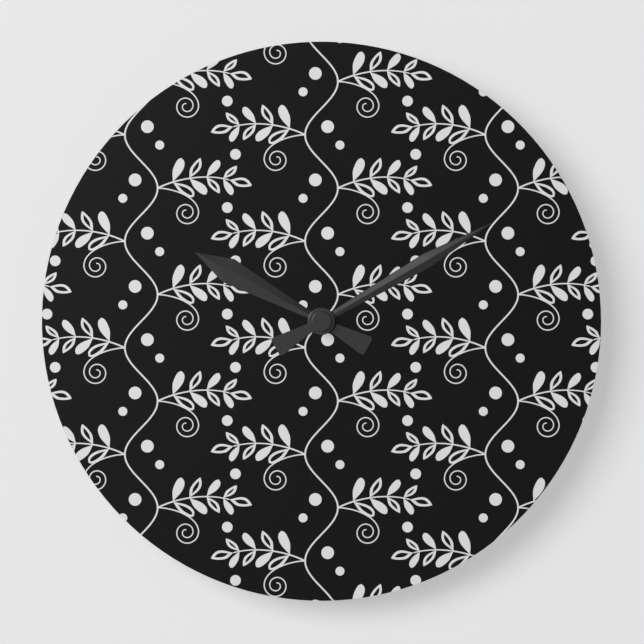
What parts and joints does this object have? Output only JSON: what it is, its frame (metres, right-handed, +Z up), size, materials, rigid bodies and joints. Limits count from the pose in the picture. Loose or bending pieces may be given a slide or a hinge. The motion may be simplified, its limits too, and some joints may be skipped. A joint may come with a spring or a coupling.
{
  "type": "wall clock",
  "caption": "Round frameless wall clock: a thick printed acrylic disc with hour and minute hands on a battery quartz movement with a keyhole hanger.",
  "frame": {"origin": "On the wall plane, which is the rear cover's back face, behind the axis of the hands", "axes": "+Y towards the wall, so the dial faces -Y; +Z up; +X to the right seen from the front"},
  "size_m": [0.273, 0.0328, 0.273],
  "materials": {
    "clear_acrylic": "polished clear acrylic with a laser-cut rim",
    "black_ink": "cured black print with white figures",
    "black_case_plastic": "fine moulded texture",
    "hand_metal": "satin charcoal paint",
    "brass": "turned",
    "steel": "zinc plated",
    "spring_contact": "nickel plated strip",
    "rubber": "matt",
    "gear_plastic": "natural acetal",
    "amber_plastic": "natural nylon",
    "copper_wire": "enamelled winding",
    "soft_iron": "stamped",
    "magnet": "sintered",
    "board_laminate": "solder mask",
    "epoxy": "cast drop",
    "cell_wrap": "shrunk sleeve"
  },
  "bodies": {
    "clock_frame": {"dial_disc": "clear_acrylic", "printed_face": "black_ink", "front_case": "black_case_plastic", "rear_cover": "black_case_plastic", "battery_cell": "cell_wrap", "contact_positive": "spring_contact", "contact_negative": "spring_contact", "circuit_board": "board_laminate", "driver_chip": "epoxy", "quartz_crystal": "steel", "stator_plate": "soft_iron", "coil_core": "soft_iron", "coil_bobbin": "amber_plastic", "coil_winding": "copper_wire", "bridge_plate": "gear_plastic", "hanger_plate": "steel", "rubber_gasket": "rubber", "threaded_stem": "brass", "dial_washer": "brass", "fixing_nut": "brass"},
    "minute_arbor": {"minute_pipe": "brass", "centre_wheel": "gear_plastic", "minute_hand": "hand_metal", "hand_cap": "hand_metal"},
    "hour_arbor": {"hour_wheel": "gear_plastic", "hour_hand": "hand_metal"},
    "minute_wheel_body": {"minute_wheel": "gear_plastic"},
    "setting_knob_body": {"setting_knob": "amber_plastic"},
    "third_wheel_body": {"third_wheel": "gear_plastic"},
    "seconds_arbor_body": {"seconds_wheel": "gear_plastic", "seconds_arbor": "steel"},
    "fifth_wheel_body": {"fifth_wheel": "gear_plastic"},
    "rotor": {"rotor_magnet": "magnet", "rotor_pinion": "gear_plastic"}
  },
  "joints": [
    {"name": "minute_hand_turn", "type": "hinge", "parent": "clock_frame", "child": "minute_arbor", "pos_m": [0, -0.01, 0], "axis": [0, 1, 0], "continuous": true},
    {"name": "hour_hand_turn", "type": "hinge", "parent": "clock_frame", "child": "hour_arbor", "pos_m": [0, -0.013, 0], "axis": [0, 1, 0], "continuous": true},
    {"name": "minute_wheel_turn", "type": "hinge", "parent": "clock_frame", "child": "minute_wheel_body", "pos_m": [0.00788, -0.0115, -0.00139], "axis": [0, 1, 0], "continuous": true},
    {"name": "setting_knob_turn", "type": "hinge", "parent": "clock_frame", "child": "setting_knob_body", "pos_m": [0.01625, -0.008, -0.00212], "axis": [0, 1, 0], "continuous": true},
    {"name": "third_wheel_turn", "type": "hinge", "parent": "clock_frame", "child": "third_wheel_body", "pos_m": [-0.01005, -0.008, 0.00177], "axis": [0, 1, 0], "continuous": true},
    {"name": "seconds_arbor_turn", "type": "hinge", "parent": "clock_frame", "child": "seconds_arbor_body", "pos_m": [0, -0.0065, 0], "axis": [0, 1, 0], "continuous": true},
    {"name": "fifth_wheel_turn", "type": "hinge", "parent": "clock_frame", "child": "fifth_wheel_body", "pos_m": [0.00839, -0.005, 0.00632], "axis": [0, 1, 0], "continuous": true},
    {"name": "rotor_turn", "type": "hinge", "parent": "clock_frame", "child": "rotor", "pos_m": [0.00801, -0.0089, 0.01351], "axis": [0, 1, 0], "continuous": true}
  ],
  "couplings": [
    {"joint": "hour_hand_turn", "follows": "minute_hand_turn", "ratio": 0.083333},
    {"joint": "minute_wheel_turn", "follows": "minute_hand_turn", "ratio": -0.33333},
    {"joint": "setting_knob_turn", "follows": "minute_hand_turn", "ratio": 0.83333},
    {"joint": "third_wheel_turn", "follows": "minute_hand_turn", "ratio": -8},
    {"joint": "seconds_arbor_turn", "follows": "minute_hand_turn", "ratio": 60},
    {"joint": "fifth_wheel_turn", "follows": "minute_hand_turn", "ratio": -360},
    {"joint": "rotor_turn", "follows": "minute_hand_turn", "ratio": 1800}
  ]
}
